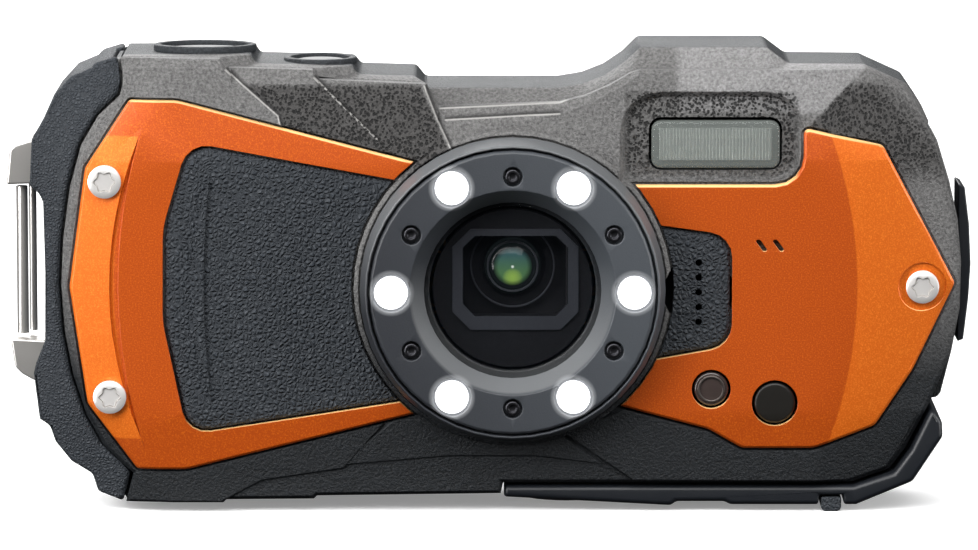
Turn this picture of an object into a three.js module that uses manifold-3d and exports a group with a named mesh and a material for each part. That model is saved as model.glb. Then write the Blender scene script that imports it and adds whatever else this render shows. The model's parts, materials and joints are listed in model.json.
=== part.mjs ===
// A rugged waterproof compact camera, built as an assembly of separate pieces.
// Millimetres. X runs from the grip end to the battery door end, Y from the lens to the display, Z up.
// Heights are given above the base cover's lowest face; the whole camera stands FOOT_DROP above the
// ground, on the rubber foot under the base cover.
import * as THREE from "three";
import { mergeVertices } from "three/addons/utils/BufferGeometryUtils.js";
import Module from "manifold-3d";

const wasm = await Module();
wasm.setup();

// ---------------------------------------------------------------- driving dimensions
const GAP = 0.3; // clearance between pieces that meet
const WALL = 1.8; // wall of the plastic shells
const FOOT_DROP = 0.8; // how far the rubber foot stands below the base cover

// Depths along Y, from front to back.
const RING_FRONT = -14.75;
const PLATE_FRONT = -10.6; // painted faceplates
const SHELL_FRONT = -10.0;
const PARTING = -6.2; // back edge of the front shell
const TOP_EDGE = -3.6; // where the rear shell's top chamfer ends
const SHELL_BACK = 12.4;
const REAR_WALL = 10.9; // inside face of the rear wall
const THUMB_BACK = 14.75; // the proudest point at the back
const TONGUE_BACK = 5.0; // back face of the tongue that closes the seam at the grip end

// Lens and its light ring.
const LENS = { x: 3.0, z: 28.35 };
const RING_RADIUS = 19.4;
const BOSS_RADIUS = 20.2;
const COVER_OUTER = 18.1;
const COVER_INNER = 13.1;
const LED_CIRCLE = 15.4;
const LED_RADIUS = 2.15;
const SCREW_CIRCLE = 14.8;
const WINDOW_RADIUS = 11.6;
const LENS_BORE = 14.2;
const OPTIC = { x: 3.0, z: 30.9 }; // optical axis, above the ring's centre

// Controls on the back.
const PAD_CENTRE = { x: -33.0, z: 27.0 };

// Battery door, hinged along Y at the bottom of the side wall.
const HINGE = { x: 56.9, z: 14.4 };
const DOOR_FRONT = -4.6;
const DOOR_BACK = 9.7;

const TRIPOD = { x: 10, y: 1, thread: 3.2, outer: 5.0, boss: 7.2 };

// ---------------------------------------------------------------- materials
const material = (color, roughness, metalness = 0) =>
  new THREE.MeshStandardMaterial({ color, roughness, metalness });
const plastic = material(0x33363a, 0.75);
const smoothPlastic = material(0x1f2429, 0.5);
const rubber = material(0x2f343a, 0.85);
const paint = material(0xe0661c, 0.4, 0.3);
const satinBlack = material(0x23262b, 0.55);
const steel = material(0xc9c9c7, 0.3, 1);
const chrome = material(0xe6e6e4, 0.15, 1);
const darkSteel = material(0x2a2c30, 0.4, 0.8);
const glass = material(0x0b0f14, 0.05);
const clear = material(0xdfe6e6, 0.1);
const lamp = material(0xffffff, 0.3);
const boardGreen = material(0x1d5a38, 0.6);
const brass = material(0xb5935a, 0.35, 1);

// ---------------------------------------------------------------- shape helpers
// Corners [x, z] or [x, z, radius] in, points out, with each rounded corner as an arc.
function outline(corners, steps = 4) {
  const points = [];
  corners.forEach(([x, z, radius = 0], i) => {
    const corner = new THREE.Vector2(x, z);
    if (!radius) {
      points.push([x, z]);
      return;
    }
    const before = corners.at(i - 1);
    const after = corners[(i + 1) % corners.length];
    const a = new THREE.Vector2(before[0] - x, before[1] - z).normalize();
    const b = new THREE.Vector2(after[0] - x, after[1] - z).normalize();
    const half = Math.acos(a.dot(b)) / 2;
    const middle = a.clone().add(b).normalize();
    const centre = corner.clone().addScaledVector(middle, radius / Math.sin(half));
    const from = corner.clone().addScaledVector(a, radius / Math.tan(half)).sub(centre);
    const to = corner.clone().addScaledVector(b, radius / Math.tan(half)).sub(centre);
    const sweep = Math.atan2(from.cross(to), from.dot(to));
    for (let k = 0; k <= steps; k++) {
      const p = from.clone().rotateAround(new THREE.Vector2(), (sweep * k) / steps);
      points.push([centre.x + p.x, centre.y + p.y]);
    }
  });
  return points;
}

// Points of a circle, or of an ellipse when a second radius is given, counter-clockwise.
function circle(x, z, radius, count = 32, other = radius) {
  return Array.from({ length: count }, (_, i) => {
    const turn = (2 * Math.PI * i) / count;
    return [x + radius * Math.cos(turn), z + other * Math.sin(turn)];
  });
}

// Moves a counter-clockwise outline's edges inwards by distance, or outwards when it is negative.
function inset(points, distance) {
  return points.map(([x, z], i) => {
    const before = points.at(i - 1);
    const after = points[(i + 1) % points.length];
    const one = new THREE.Vector2(x - before[0], z - before[1]).normalize();
    const two = new THREE.Vector2(after[0] - x, after[1] - z).normalize();
    const share = distance / Math.max(0.35, 1 + one.dot(two));
    return [x - (one.y + two.y) * share, z + (one.x + two.x) * share];
  });
}

// A closed body through several outlines of equally many points, each [y, points], from front to back.
function loft(rings) {
  const count = rings[0][1].length;
  const position = rings.flatMap(([y, points]) => points.flatMap(([x, z]) => [x, y, z]));
  const index = [];
  const cap = (ring) =>
    THREE.ShapeUtils.triangulateShape(
      rings[ring][1].map(([x, z]) => new THREE.Vector2(x, z)),
      [],
    );
  cap(0).forEach(([a, b, c]) => index.push(a, b, c));
  const last = (rings.length - 1) * count;
  cap(rings.length - 1).forEach(([a, b, c]) => index.push(last + c, last + b, last + a));
  for (let r = 0; r < rings.length - 1; r++) {
    for (let i = 0; i < count; i++) {
      const a = r * count + i;
      const b = r * count + ((i + 1) % count);
      index.push(a, a + count, b, b, a + count, b + count);
    }
  }
  return new THREE.BufferGeometry()
    .setAttribute("position", new THREE.Float32BufferAttribute(position, 3))
    .setIndex(index);
}

// A plate with one outline in XZ: levels are [y, inset] from front to back.
const slab = (points, ...levels) =>
  loft(levels.map(([y, by]) => [y, by ? inset(points, by) : points]));

const prism = (points, front, back) => slab(points, [front, 0], [back, 0]);

// A body turned about Y at (x, z) from a closed profile of [radius, y] points.
function turned(x, z, profile, count = 32) {
  const points = profile.map(([r, y]) => new THREE.Vector2(r, y));
  if (THREE.ShapeUtils.area(points) < 0) points.reverse();
  if (points.every((p) => p.x > 0)) points.push(points[0].clone());
  else {
    const start = points.findIndex((p, i) => p.x === 0 && points.at(i - 1).x === 0);
    points.push(...points.splice(0, start));
  }
  return new THREE.LatheGeometry(points, count).translate(x, 0, z);
}

// A body turned about Z at (x, y), from [radius, z] points.
function turnedUp(x, y, profile, count = 32) {
  return turned(0, 0, profile, count).rotateX(Math.PI / 2).translate(x, y, 0);
}

function box([x0, x1], [y0, y1], [z0, z1]) {
  return new THREE.BoxGeometry(x1 - x0, y1 - y0, z1 - z0).translate(
    (x0 + x1) / 2,
    (y0 + y1) / 2,
    (z0 + z1) / 2,
  );
}

// ---------------------------------------------------------------- joining and cutting
function solidOf(geometry) {
  const bare = new THREE.BufferGeometry()
    .setAttribute("position", geometry.getAttribute("position"))
    .setIndex(geometry.index);
  const merged = mergeVertices(bare, 1e-4);
  const solid = (triVerts) =>
    new wasm.Manifold(
      new wasm.Mesh({ numProp: 3, vertProperties: merged.attributes.position.array, triVerts }),
    );
  const made = solid(new Uint32Array(merged.index.array));
  return made.volume() < 0 ? solid(new Uint32Array(merged.index.array).reverse()) : made;
}

function geometryOf(solid) {
  const mesh = solid.getMesh();
  return new THREE.BufferGeometry()
    .setAttribute("position", new THREE.Float32BufferAttribute(mesh.vertProperties, 3))
    .setIndex(new THREE.Uint32BufferAttribute(mesh.triVerts, 1));
}

const join = (first, ...others) =>
  geometryOf(others.reduce((whole, g) => whole.add(solidOf(g)), solidOf(first)));

const carve = (first, ...tools) =>
  geometryOf(tools.reduce((left, g) => left.subtract(solidOf(g)), solidOf(first)));

// ---------------------------------------------------------------- the bowed front
// The front sweeps back towards both ends, and leans back above and below the lens. The ends' creases
// are arcs: CREASE_BEND is how far they bend in, per square millimetre above or below LENS.z.
// BOW and LEAN list how far the front goes back, past each crease and at lines of constant Z.
const CREASE_BEND = 0.009;
const BOW = [
  [-59, 2.3],
  [-47.4, 0],
  [46.8, 0],
  [62, 3.1],
];
const LEAN = [
  [2.7, 0.9],
  [12.35, 0],
  [44.65, 0],
  [57.9, 1.6],
];
const BOW_STEPS = [7.5, 17.5, 22.5, 28, 33.5, 39, 50.5];

const unbent = (x, z) => x + Math.max(-1, Math.min(1, x / 20)) * CREASE_BEND * (z - LENS.z) ** 2;

function along(table, x) {
  if (x <= table[0][0]) return table[0][1];
  const next = table.findIndex(([at]) => at > x);
  if (next < 0) return table.at(-1)[1];
  const [[x0, b0], [x1, b1]] = [table[next - 1], table[next]];
  return b0 + ((b1 - b0) * (x - x0)) / (x1 - x0);
}

// Splits every triangle where it crosses the plane at that place on an axis: 2 is Z, 3 the unbent X.
function splitAt(triangles, axis, at) {
  const out = [];
  const meet = (p, q) => {
    const [a, b] = p[axis] < q[axis] ? [p, q] : [q, p];
    const t = (at - a[axis]) / (b[axis] - a[axis]);
    return a.map((value, i) => (i === axis ? at : value + (b[i] - value) * t));
  };
  for (const triangle of triangles) {
    for (const side of [-1, 1]) {
      const kept = [];
      triangle.forEach((p, i) => {
        const q = triangle[(i + 1) % 3];
        const here = (p[axis] - at) * side;
        const there = (q[axis] - at) * side;
        if (here >= 0) kept.push(p);
        if (here * there < 0) kept.push(meet(p, q));
      });
      const flat = kept.every((p) => p[axis] === at);
      if (flat && side > 0) continue;
      for (let i = 1; i + 1 < kept.length; i++) out.push([kept[0], kept[i], kept[i + 1]]);
    }
  }
  return out;
}

// Sweeps a front piece back: all of the bow at the shell's face, none at the parting line.
function bowed(geometry) {
  const soup = geometry.index ? geometry.toNonIndexed() : geometry;
  const at = soup.getAttribute("position");
  let triangles = [];
  for (let i = 0; i < at.count; i += 3) {
    triangles.push([0, 1, 2].map((k) => [at.getX(i + k), at.getY(i + k), at.getZ(i + k)]));
  }
  for (const z of [...LEAN.map(([at]) => at), ...BOW_STEPS]) triangles = splitAt(triangles, 2, z);
  triangles = triangles.map((triangle) => triangle.map(([x, y, z]) => [x, y, z, unbent(x, z)]));
  for (const [x] of BOW) triangles = splitAt(triangles, 3, x);
  const share = (y) => Math.max(0, (PARTING - y) / (PARTING - SHELL_FRONT));
  const moved = triangles
    .flat()
    .flatMap(([x, y, z, u]) => [x, y + (along(BOW, u) + along(LEAN, z)) * share(y), z]);
  const made = new THREE.BufferGeometry().setAttribute(
    "position",
    new THREE.Float32BufferAttribute(moved, 3),
  );
  return geometryOf(solidOf(made).simplify(0.002));
}

// ---------------------------------------------------------------- outlines, in XZ
// The seam between the shells and the grip end's bumper, from the top down.
const SEAM = [
  [-46.8, 57.5],
  [-46.4, 54.3],
  [-46.9, 52.7],
  [-49.6, 50.2],
  [-51.8, 46.5],
  [-53.3, 41.0],
  [-54.2, 34.5],
  [-54.5, 28.5],
  [-54.1, 22.5],
  [-53.1, 17.0],
  [-51.4, 11.7],
  [-49.3, 7.8],
  [-46.9, 5.4],
  [-45.5, 4.2],
  [-46.5, 0.4],
];

const BOTTOM = [
  [-34.0, 0.4],
  [-33.6, 0.8],
  [-22.4, 0.9],
  [-22.0, 1.3],
  [-9.0, 1.4],
  [1.5, 1.6],
  [1.8, 3.0],
  [46.5, 3.0],
];

// The front shell's face, and the rear shell's widest outline: the same corners, further out.
const FACE_REST = [
  [51.3, 4.6],
  [53.3, 7.3],
  [56.4, 13.3],
  [59.0, 19.6],
  [60.0, 25.2],
  [60.1, 31.0],
  [59.5, 36.5],
  [58.3, 41.3],
  [56.7, 46.4],
  [54.8, 50.6],
  [53.1, 53.0],
  [47.8, 56.0],
  [38.2, 56.0],
  [35.4, 56.0],
  [19.2, 56.0],
  [18.0, 55.6],
  [15.4, 54.1],
  [12.2, 52.7],
  [9.0, 51.9],
  [-6.4, 51.3],
  [-8.0, 54.2],
  [-21.6, 54.8],
  [-22.4, 56.0],
  [-33.0, 56.3],
  [-34.2, 57.4],
];
const BODY_REST = [
  [51.6, 4.7],
  [53.7, 7.4],
  [56.8, 13.2],
  [59.4, 19.5],
  [60.3, 25.0],
  [60.4, 31.0],
  [59.9, 36.5],
  [58.8, 41.4],
  [57.2, 46.6],
  [55.2, 51.0],
  [53.3, 53.8],
  [47.8, 56.3],
  [38.2, 56.4],
  [35.4, 58.5],
  [19.2, 58.5],
  [17.3, 56.6],
  [14.8, 54.9],
  [12.0, 53.8],
  [9.0, 53.3],
  [-8.2, 53.3],
  [-9.4, 54.8],
  [-16.6, 55.0],
  [-17.4, 56.1],
  [-29.6, 56.4],
  [-30.4, 57.6],
];
const FACE = [...BOTTOM, ...FACE_REST, ...SEAM];
const BODY = [...BOTTOM, ...BODY_REST, ...SEAM];

const CAVITY = [
  [-44.0, 3.2],
  [0.0, 3.6],
  [1.0, 5.2],
  [46.0, 5.2],
  [51.0, 9.0],
  [54.2, 15.0],
  [56.2, 21.0],
  [57.0, 27.0],
  [57.0, 33.0],
  [56.2, 38.5],
  [54.5, 44.5],
  [51.0, 50.5],
  [46.5, 53.4],
  [37.0, 53.6],
  [20.0, 53.6],
  [15.5, 51.6],
  [10.0, 50.2],
  [-8.0, 50.2],
  [-10.0, 52.6],
  [-17.4, 53.0],
  [-18.2, 54.2],
  [-30.4, 54.4],
  [-31.2, 55.6],
  [-44.8, 55.6],
  [-45.0, 52.0],
  [-50.3, 45.0],
  [-52.3, 34.0],
  [-52.3, 24.0],
  [-49.5, 12.5],
  [-45.5, 6.5],
];

const PLATE_LEFT = outline([
  [-45.6, 52.3, 0.6],
  [-51.3, 43.6, 1.5],
  [-53.4, 28.4, 3],
  [-51.2, 13.4, 1.5],
  [-44.9, 4.9, 0.8],
  [-38.6, 4.9, 6],
  [-4.0, 13.6],
  [-4.0, 43.1],
  [-39.6, 52.3, 6],
]);

const PLATE_RIGHT = outline([
  [10.0, 15.0],
  [28.0, 10.2, 4],
  [32.3, 7.7, 1.5],
  [41.4, 7.7, 4],
  [49.2, 10.5, 1.5],
  [54.0, 17.6, 6],
  [59.4, 28.7, 0.8],
  [50.0, 46.5, 1.2],
  [39.9, 48.8, 0.7],
  [39.9, 41.6, 3.6],
  [10.0, 41.6],
]);

const GRIP_PAD = outline([
  [-37.9, 46.7, 3],
  [-41.1, 36.0, 12],
  [-41.2, 24.0, 12],
  [-38.2, 9.8, 2.8],
  [-9.0, 14.4],
  [-9.0, 41.4],
]);

const SPEAKER_PAD = outline([
  [14.0, 18.2],
  [30.6, 21.2, 3],
  [30.6, 34.9, 3],
  [14.0, 37.2],
]);

const FLASH_RECESS = outline([
  [17.1, 42.2],
  [39.2, 42.2, 3.4],
  [39.6, 52.8, 4.2],
  [17.1, 52.8, 4.6],
]);

const FLASH_FRAME = outline([
  [20.6, 43.6, 1.2],
  [36.9, 43.6, 1.2],
  [36.9, 49.7, 1.2],
  [20.6, 49.7, 1.2],
]);

// A strip along the seam: the rear shell's tongue, which lies in the bumper's groove and closes the gap.
// It stops that far short of the seam's two ends, or runs past them when short is negative.
function seamStrip(wide, extra, short) {
  const top = SEAM[0];
  const foot = SEAM.at(-1);
  const edge = [[top[0], top[1] - short], ...SEAM.slice(1, -1), [foot[0] + short * 0.2, foot[1] + short]];
  const shifted = (by) => edge.map(([x, z], i) => {
    const [x0, z0] = edge[Math.max(0, i - 1)];
    const [x1, z1] = edge[Math.min(edge.length - 1, i + 1)];
    const away = new THREE.Vector2(z1 - z0, x0 - x1).normalize();
    return [x + away.x * by, z + away.y * by];
  });
  return [...shifted(wide), ...shifted(-extra).reverse()];
}

// ---------------------------------------------------------------- small shared shapes
const FACE_SCREWS = [
  { x: -48.75, z: 42.0 },
  { x: -48.3, z: 14.4 },
  { x: 55.2, z: 28.3 },
];
const SCREW_HEAD = 2.1;
const SPEAKER_HOLES = [-2, -1, 0, 1, 2].map((n) => ({ x: 26.65, z: 27.8 + 1.9 * n }));
const MIC_SLOTS = [
  { x: 34.6, z: 33.85 },
  { x: 36.75, z: 33.85 },
];
const TIMER = { x: 28.3, z: 15.4, radius: 2.2 };
const REMOTE = { x: 36.4, z: 13.6, radius: 2.65 };

const around = (radius, offset = 0) =>
  Array.from({ length: 6 }, (_, i) => {
    const turn = offset + (i * Math.PI) / 3;
    return { x: LENS.x + radius * Math.cos(turn), z: LENS.z + radius * Math.sin(turn) };
  });
const LEDS = around(LED_CIRCLE);
const RING_SCREWS = around(SCREW_CIRCLE, Math.PI / 6);

function hole({ x, z }, radius, front, back, count = 20) {
  return prism(circle(x, z, radius, count), front, back);
}

// A slanted slot with round ends.
function micSlot({ x, z }) {
  const half = 0.75;
  const lean = 0.55;
  const wide = 0.36;
  const ends = [
    [x - lean - wide, z + half, 0.2],
    [x + lean - wide, z - half, 0.3],
    [x + lean + wide, z - half, 0.2],
    [x - lean + wide, z + half, 0.3],
  ];
  return prism(outline(ends, 2), PLATE_FRONT - 1, SHELL_FRONT + 1.2);
}

// A cutter for a sloping band under an edge. The line lists [x, z, drop] along the edge, and the band
// runs from the proud face, drop below the edge, back to the edge itself at that depth.
function band(line, proud, depth) {
  const rings = line.map(([x, z, drop]) => {
    const run = depth + proud;
    const low = [-(SHELL_FRONT - proud - run), z - 2 * drop];
    const high = [-(SHELL_FRONT + depth + run), z + drop];
    return [x, [low, [low[0], high[1] + 3], high]];
  });
  return loft(rings).rotateZ(-Math.PI / 2);
}

// ---------------------------------------------------------------- casing
// The front shell's upper left is three overlapping plates, each one set back from the last.
function steppedPlates() {
  const first = [[-46.4, 47.0], [-25.0, 47.0], [-26.6, 50.4], [-33.4, 56.2], [-34.3, 57.3], [-46.5, 57.3]];
  const second = [[-30.0, 44.0], [-12.4, 44.0], [-14.0, 47.3], [-22.2, 55.2], [-22.6, 55.9], [-33.0, 56.1]];
  const third = [[-20.0, 42.0], [-3.0, 42.0], [-6.4, 49.6], [-8.2, 54.1], [-21.6, 54.6]];
  const step = (points, proud) =>
    slab(points, [SHELL_FRONT - proud, 0.15], [SHELL_FRONT - proud + 0.2, 0], [SHELL_FRONT + 1, 0]);
  return [step(third, 0.35), step(second, 0.65), step(first, 0.95)];
}

// Lower down, the same kind of steps run under the lens.
function lowerPlates() {
  const left = [[-46.0, 0.7], [-34.2, 0.6], [-29.0, 3.4], [-18.5, 5.0], [-13.4, 10.8], [-14.0, 14.0], [-45.2, 4.4]];
  const middle = [[-19.2, 5.4], [-5.0, 6.6], [6.0, 6.6], [14.5, 5.6], [9.0, 9.6], [0.0, 12.0], [-12.0, 11.5]];
  const right = [[18.4, 3.4], [45.8, 3.3], [50.9, 4.9], [55.0, 12.2], [47.0, 14.0], [20.0, 14.0], [9.5, 9.6]];
  const step = (points, proud) =>
    slab(points, [SHELL_FRONT - proud, 0.15], [SHELL_FRONT - proud + 0.2, 0], [SHELL_FRONT + 1, 0]);
  return [step(left, 0.35), step(middle, 0.3), step(right, 0.45)];
}

function frontShell() {
  const body = slab(FACE, [SHELL_FRONT, 0.5], [SHELL_FRONT + 0.9, 0], [PARTING, 0]);
  const boss = turned(LENS.x, LENS.z, [
    [0, SHELL_FRONT + 1],
    [BOSS_RADIUS, SHELL_FRONT + 1],
    [BOSS_RADIUS, SHELL_FRONT - 0.7],
    [BOSS_RADIUS - 0.4, SHELL_FRONT - 0.9],
    [0, SHELL_FRONT - 0.9],
  ], 48);
  const pocketFloor = PLATE_FRONT + 1.3;
  const pocket = (points) => prism(inset(points, -GAP), SHELL_FRONT - 3, pocketFloor);
  const reliefs = [PLATE_LEFT, PLATE_RIGHT].map((points) =>
    carve(pocket(points), prism(circle(LENS.x, LENS.z, BOSS_RADIUS, 48), -20, 0)),
  );
  const shell = carve(
    join(body, boss, ...steppedPlates(), ...lowerPlates()),
    ...reliefs,
    band([[-46.4, 57.4, 1.0], [-34.0, 57.3, 1.0]], 0.95, 0.5),
    band([[-32.7, 56.2, 1.7], [-22.3, 56.0, 1.7]], 0.65, 1.1),
    band([[-21.6, 54.9, 1.7], [-8.0, 54.3, 1.7]], 0.35, 1.1),
    band(
      [[-6.4, 51.4, 2.1], [1.0, 51.6, 2.0], [9.0, 52.0, 1.4], [12.2, 52.8, 1.2], [15.4, 54.2, 0.9], [19.0, 56.0, 0.6]],
      0, 1.2,
    ),
    band(
      [[19.4, 56.1, 0.6], [24.0, 56.1, 2.2], [33.0, 56.1, 2.6], [41.0, 56.1, 6.0], [47.8, 56.1, 0.9], [53.3, 53.0, 0.6]],
      0, 1.3,
    ),
    prism(CAVITY, SHELL_FRONT + WALL, 0),
    slab(FLASH_RECESS, [SHELL_FRONT - 3, -1.6], [SHELL_FRONT, -0.5], [SHELL_FRONT + 1.2, 0.2]),
    prism(inset(FLASH_FRAME, -GAP), SHELL_FRONT - 3, 0),
    prism(circle(LENS.x, LENS.z, RING_RADIUS + 0.2, 48), -20, SHELL_FRONT - 0.3),
    hole(LENS, LENS_BORE + 0.4, -20, 0, 48),
    hole(TIMER, TIMER.radius + GAP, -20, 0),
    hole(REMOTE, REMOTE.radius + GAP, -20, 0),
    hole({ x: 26.65, z: 27.8 }, 4.6, -20, 0),
    ...FACE_SCREWS.map((at) => hole(at, 1.0, -20, PARTING - 1.2, 12)),
  );
  return bowed(shell);
}

function rearShell() {
  const body = loft([
    [PARTING + GAP, inset(FACE, 0.02)],
    [TOP_EDGE, BODY],
    [SHELL_BACK - 1.6, BODY],
    [SHELL_BACK, inset(BODY, 1.1)],
  ]);
  const thumb = slab(
    outline([[-52.0, 17.0, 2], [-46.6, 17.0, 2], [-46.6, 40.0, 2], [-51.4, 40.0, 2]], 3),
    [SHELL_BACK - 2, 0],
    [THUMB_BACK - 0.8, 0.3],
    [THUMB_BACK, 1.2],
  );
  const tongue = prism(seamStrip(0.9, 0.8, 0.3), PARTING + 2 * GAP, TONGUE_BACK);
  const doorRecess = prism(inset(DOOR, -0.4), DOOR_FRONT - 0.4, DOOR_BACK + 0.4);
  return carve(
    join(body, thumb, tongue),
    prism(CAVITY, -20, REAR_WALL),
    doorRecess,
    box([50, 59.8], [-3.9, 8.7], [16.2, 46.9]),
    prism(inset(DISPLAY, -GAP), SHELL_BACK - 1.0, 20),
    prism(inset(DISPLAY, 2.2), REAR_WALL - 1, 20),
    prism(outline(ZOOM_HOLE, 4), REAR_WALL - 1, 20),
    ...REAR_BUTTONS.map((b) => hole(b, b.radius + GAP, REAR_WALL - 1, 20)),
    hole(PAD_CENTRE, OK_RADIUS + GAP, REAR_WALL - 1, 20),
    ...KEY_NAMES.map((_, i) => prism(inset(arrowKey(i), -GAP), REAR_WALL - 1, 20)),
    topHole(SHUTTER.x, SHUTTER.y, SHUTTER.wide + GAP, SHUTTER.deep + GAP),
    topHole(POWER.x, POWER.y, POWER.radius + GAP, POWER.radius + GAP),
    turnedUp(TRIPOD.x, TRIPOD.y, [[0, -2], [TRIPOD.outer + GAP, -2], [TRIPOD.outer + GAP, 8], [0, 8]], 24),
  );
}

// The cover under the camera: a strip that also wraps the lower corner below the battery door.
function baseCover() {
  const strip = [
    [1.9, 1.1],
    [22.9, 0.0],
    [23.4, 0.0],
    [23.9, 0.5],
    [30.2, 0.5],
    [30.8, 0.1],
    [47.0, 0.1],
    [54.2, 3.1],
    [58.0, 8.9],
    [57.9, 10.9],
    [56.7, 12.5],
    [56.2, 11.9],
    [54.0, 7.3],
    [51.8, 4.3],
    [46.6, 2.6],
    [1.9, 2.6],
  ];
  const plate = slab(strip, [-8.6, 0.3], [-8.0, 0], [10.6, 0], [11.2, 0.3]);
  const boss = turnedUp(TRIPOD.x, TRIPOD.y, [[0, 0.2], [TRIPOD.boss, 0.2], [TRIPOD.boss, 2.6], [0, 2.6]], 32);
  return carve(
    join(plate, boss),
    turnedUp(TRIPOD.x, TRIPOD.y, [[0, -2], [TRIPOD.outer + GAP, -2], [TRIPOD.outer + GAP, 8], [0, 8]], 24),
    box([42.2, 45.4], [-12, 9.3], [-2, 1.4]),
  );
}

function baseFoot() {
  const side = outline([[42.5, 1.1], [42.5, -FOOT_DROP, 0.6], [45.1, -FOOT_DROP, 0.6], [45.1, 1.1]], 3);
  return prism(side, -8.3, 9.0);
}

// The bumper that wraps the grip end; the strap lug's brackets come out of its side.
function sideBumper() {
  const outer = [
    [-46.9, 0.4],
    [-45.85, 4.3],
    [-47.2, 5.7],
    [-49.6, 8.0],
    [-51.7, 11.8],
    [-53.4, 17.0],
    [-54.4, 22.5],
    [-54.8, 28.5],
    [-54.5, 34.5],
    [-53.6, 41.0],
    [-52.1, 46.6],
    [-49.8, 50.4],
    [-47.2, 52.9],
    [-46.8, 54.4],
    [-47.2, 57.6],
    [-50.0, 56.8],
    [-50.6, 56.1],
    [-53.2, 55.0],
    [-55.3, 52.7],
    [-56.6, 49.8],
    [-58.2, 46.9],
    [-58.5, 41.0],
    [-57.3, 40.1],
    [-56.8, 39.0],
    [-56.6, 30.0],
    [-56.7, 21.2],
    [-57.9, 18.2],
    [-58.2, 16.9],
    [-57.5, 11.0],
    [-56.2, 10.1],
    [-55.5, 8.0],
    [-53.5, 5.5],
    [-50.8, 3.9],
    [-50.1, 1.6],
  ];
  const wrap = slab(outer, [-9.7, 0.4], [-9.0, 0], [10.0, 0], [11.0, 0.5]);
  const groove = prism(seamStrip(1.2, 3, -2), PARTING + GAP, TONGUE_BACK + GAP);
  const seats = [UPPER_BRACKET, LOWER_BRACKET].map((points) =>
    prism(inset(points, -GAP), LUG_FRONT - GAP, LUG_BACK + GAP),
  );
  return bowed(carve(wrap, groove, ...seats));
}

// ---------------------------------------------------------------- front trim
// An upright crescent that bends out from x by bend, half as high as reach and at most 2 x wide across.
function crescent(x, bend, reach, wide, steps = 12) {
  const side = (offset) =>
    Array.from({ length: steps + 1 }, (_, i) => {
      const z = LENS.z - reach + (2 * reach * i) / steps;
      const fade = 1 - ((z - LENS.z) / reach) ** 2;
      return [x - bend * fade + offset * fade, z];
    });
  return [...side(wide), ...side(-wide).slice(1, -1).reverse()];
}

// The groove down the grip end's plate, and the ridge that the fingers feel on the grip pad.
const PLATE_GROOVE = crescent(-44.4, 3.3, 19.2, 0.55);
const PAD_RIDGE = crescent(-35.4, 1.6, 14.2, 0.8);

function faceplate(points, holes) {
  const plate = slab(points, [PLATE_FRONT, 0.3], [PLATE_FRONT + 0.3, 0], [PLATE_FRONT + 1.0, 0]);
  return bowed(carve(plate, prism(circle(LENS.x, LENS.z, BOSS_RADIUS + GAP, 48), -20, 0), ...holes));
}

function faceplateLeft() {
  return faceplate(PLATE_LEFT, [
    prism(inset(GRIP_PAD, -GAP), -20, 0),
    prism(PLATE_GROOVE, -20, PLATE_FRONT + 0.5),
    ...FACE_SCREWS.slice(0, 2).map((at) => hole(at, 1.3, -20, 0, 16)),
  ]);
}

function faceplateRight() {
  const corner = FACE_SCREWS[2];
  return faceplate(PLATE_RIGHT, [
    prism(inset(SPEAKER_PAD, -GAP), -20, 0),
    hole(corner, 3.1, PLATE_FRONT - 1, PLATE_FRONT + 0.5, 24),
    hole(corner, 1.3, -20, 0, 16),
    hole(TIMER, TIMER.radius + GAP, -20, 0, 24),
    hole(REMOTE, REMOTE.radius + GAP, -20, 0, 24),
    ...MIC_SLOTS.map(micSlot),
  ]);
}

function pad(points, holes = [], ridges = []) {
  const body = slab(points, [PLATE_FRONT + 0.2, 0.5], [PLATE_FRONT + 0.5, 0], [PLATE_FRONT + 1.0, 0]);
  const raised = ridges.map((ridge) => prism(ridge, PLATE_FRONT - 0.15, PLATE_FRONT + 0.6));
  return bowed(carve(join(body, ...raised), prism(circle(LENS.x, LENS.z, BOSS_RADIUS + GAP, 48), -20, 0), ...holes));
}

// A pan-head screw with a six-lobed socket, its shank reaching into the shell.
function panScrew({ x, z }, front) {
  const head = turned(x, z, [
    [0, front],
    [1.3, front],
    [SCREW_HEAD - 0.25, front + 0.18],
    [SCREW_HEAD, front + 0.5],
    [SCREW_HEAD, front + 0.8],
    [0.7, front + 0.8],
    [0.7, front + 2.4],
    [0, front + 2.4],
  ], 24);
  const lobes = Array.from({ length: 12 }, (_, i) => {
    const turn = (i * Math.PI) / 6;
    const radius = i % 2 ? 0.72 : 1.15;
    return [x + radius * Math.cos(turn), z + radius * Math.sin(turn)];
  });
  return carve(head, prism(lobes, front - 1, front + 0.55));
}

// ---------------------------------------------------------------- lens and light ring
function lensRing() {
  const floor = SHELL_FRONT - 0.3;
  return turned(LENS.x, LENS.z, [
    [RING_RADIUS, floor - GAP],
    [RING_RADIUS, floor - 2.0],
    [COVER_OUTER + 0.6, RING_FRONT + 0.25],
    [COVER_OUTER + GAP, RING_FRONT + 0.25],
    [COVER_OUTER + GAP, RING_FRONT + 1.7],
    [WINDOW_RADIUS + GAP, RING_FRONT + 3.1],
    [WINDOW_RADIUS + GAP, RING_FRONT + 4.2],
    [10.6, RING_FRONT + 4.2],
    [10.6, PARTING - 0.8],
    [LENS_BORE, PARTING - 0.8],
    [LENS_BORE, floor - GAP],
  ], 48);
}

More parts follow.
